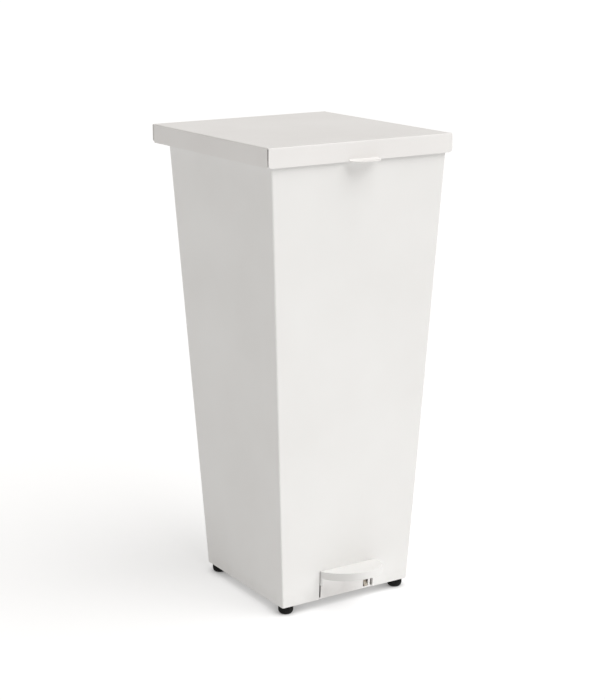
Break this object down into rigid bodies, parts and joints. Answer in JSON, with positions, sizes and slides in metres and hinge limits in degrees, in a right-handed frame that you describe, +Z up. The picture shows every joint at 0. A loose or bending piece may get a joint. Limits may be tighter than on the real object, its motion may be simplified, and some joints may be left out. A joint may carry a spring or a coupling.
{
  "type": "pedal bin",
  "caption": "Tall tapered square pedal bin in white painted sheet steel; pressing the half-round front pedal lifts the flat lid over a removable inner bucket.",
  "frame": {"origin": "on the floor, under the middle of the bin's bounding box", "axes": "+Z up, -Y the pedal side (front), +X the right hand when facing the pedal"},
  "size_m": [0.3, 0.3513, 0.681],
  "materials": {
    "painted_steel": "satin off-white powder coat",
    "zinc_steel": "bright zinc-plated steel",
    "black_rubber": "matt black rubber",
    "black_plastic": "black moulded plastic",
    "cream_nylon": "natural nylon",
    "grey_plastic": "grey moulded polypropylene"
  },
  "bodies": {
    "body": {"body_shell": "painted_steel", "base_tray": "painted_steel", "bucket_shelf": "zinc_steel", "rear_channel": "painted_steel", "hinge_bracket_left": "zinc_steel", "hinge_bracket_right": "zinc_steel", "hinge_pin_left": "zinc_steel", "hinge_pin_right": "zinc_steel", "hinge_clips": "zinc_steel", "rod_guide_upper": "cream_nylon", "rod_guide_lower": "cream_nylon", "pivot_bracket_left": "zinc_steel", "pivot_bracket_right": "zinc_steel", "pedal_axle": "zinc_steel", "axle_clips": "zinc_steel", "pedal_stop": "cream_nylon", "wall_rivets": "zinc_steel", "tray_rivets": "zinc_steel", "foot_front_left": "black_rubber", "foot_front_right": "black_rubber", "foot_rear_left": "black_rubber", "foot_rear_right": "black_rubber", "foot_screws": "zinc_steel", "foot_nuts": "zinc_steel"},
    "lid": {"lid_shell": "painted_steel", "lid_bracket_left": "zinc_steel", "lid_bracket_right": "zinc_steel", "lid_lug": "zinc_steel", "lid_buffers": "black_rubber"},
    "pedal": {"pedal_tread": "painted_steel", "pedal_yoke": "zinc_steel", "lever_bar": "zinc_steel", "pedal_bush_left": "cream_nylon", "pedal_bush_right": "cream_nylon", "yoke_rivets": "zinc_steel"},
    "rod": {"push_rod": "zinc_steel", "rod_eye": "zinc_steel", "rod_clevis": "zinc_steel", "rod_top_pin": "zinc_steel", "clevis_pin": "zinc_steel", "clevis_clip": "zinc_steel"},
    "bucket": {"inner_bucket": "grey_plastic"},
    "bail": {"bail_handle": "zinc_steel", "bail_grip": "black_plastic"}
  },
  "joints": [
    {"name": "lid_hinge", "type": "hinge", "parent": "body", "child": "lid", "pos_m": [0, 0.16167, 0.665], "axis": [-1, 0, 0], "range_deg": [0, 75]},
    {"name": "pedal_swing", "type": "hinge", "parent": "body", "child": "pedal", "pos_m": [0, -0.00429, 0.041], "axis": [1, 0, 0], "range_deg": [0, 9.35]},
    {"name": "rod_slide", "type": "slide", "parent": "body", "child": "rod", "axis": [0, 0.053, 0.9986], "range_m": [0, 0.01965]},
    {"name": "bucket_lift", "type": "slide", "parent": "body", "child": "bucket", "axis": [0, 0, 1], "range_m": [0, 0.012]},
    {"name": "bail_swing", "type": "hinge", "parent": "bucket", "child": "bail", "pos_m": [0, -0.00429, 0.6315], "axis": [-1, 0, 0], "range_deg": [0, 15]}
  ],
  "couplings": [
    {"joint": "pedal_swing", "follows": "lid_hinge", "ratio": 0.1246},
    {"joint": "rod_slide", "follows": "lid_hinge", "m_per_rad": 0.015007}
  ]
}
